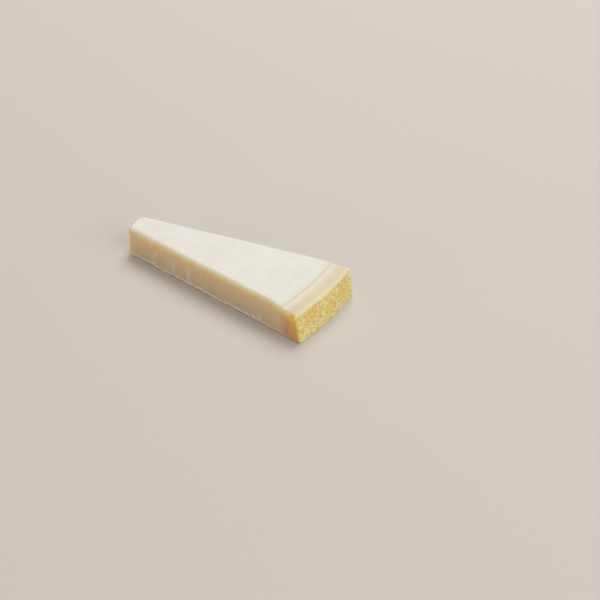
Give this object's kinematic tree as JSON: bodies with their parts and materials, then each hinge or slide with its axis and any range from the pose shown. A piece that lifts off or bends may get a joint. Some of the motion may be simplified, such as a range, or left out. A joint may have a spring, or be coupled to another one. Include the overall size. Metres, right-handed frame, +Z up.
{
  "type": "parmesan wedge",
  "caption": "Long thin wedge of hard cheese with a blunt nose, two straight cut sides, a sunken dry band near its wide end and a curved rind, lying on its flat lower face.",
  "frame": {"origin": "middle of the footprint, on the surface that the wedge rests on", "axes": "+X from the nose to the rind, +Y across to the far cut, +Z up"},
  "size_m": [0.161, 0.0658, 0.0211],
  "materials": {
    "paste": "matt ivory cheese paste, peach and drier towards the straw-yellow rind"
  },
  "bodies": {
    "root": {"parmesan_wedge": "paste"}
  },
  "joints": []
}
